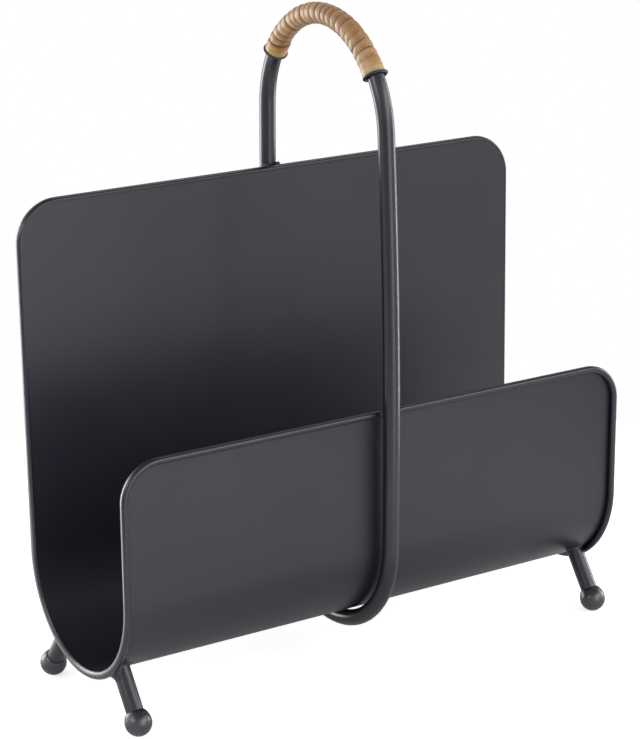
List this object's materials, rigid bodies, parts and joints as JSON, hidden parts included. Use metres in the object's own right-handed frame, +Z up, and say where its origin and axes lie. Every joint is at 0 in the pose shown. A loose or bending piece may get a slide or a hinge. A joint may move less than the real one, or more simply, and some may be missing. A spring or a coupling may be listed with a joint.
{
  "type": "magazine basket",
  "caption": "Magazine basket bent from sheet steel, high back and low front, with a wire rim, ball feet and an arched hoop handle bound with cane.",
  "frame": {"origin": "on the floor, under the middle of the hoop", "axes": "+X to the right along the trough, +Y towards the high back, +Z up"},
  "size_m": [0.35, 0.1434, 0.398],
  "materials": {
    "painted_sheet": "satin black paint",
    "painted_frame": "satin black paint",
    "black_ring": "satin black",
    "cane": "glossy split cane"
  },
  "bodies": {
    "root": {"trough_sheet": "painted_sheet", "rim_wire": "painted_frame", "hoop_tube": "painted_frame", "weld_back_left": "painted_frame", "weld_back_right": "painted_frame", "weld_front_left": "painted_frame", "weld_front_right": "painted_frame", "weld_under_left": "painted_frame", "weld_under_right": "painted_frame", "foot_rod_front_left": "painted_frame", "foot_weld_front_left": "painted_frame", "foot_ball_front_left": "painted_frame", "foot_rod_front_right": "painted_frame", "foot_weld_front_right": "painted_frame", "foot_ball_front_right": "painted_frame", "foot_rod_back_left": "painted_frame", "foot_weld_back_left": "painted_frame", "foot_ball_back_left": "painted_frame", "foot_rod_back_right": "painted_frame", "foot_weld_back_right": "painted_frame", "foot_ball_back_right": "painted_frame", "end_ring_front": "black_ring", "end_ring_back": "black_ring", "cane_winding": "cane"}
  },
  "joints": []
}
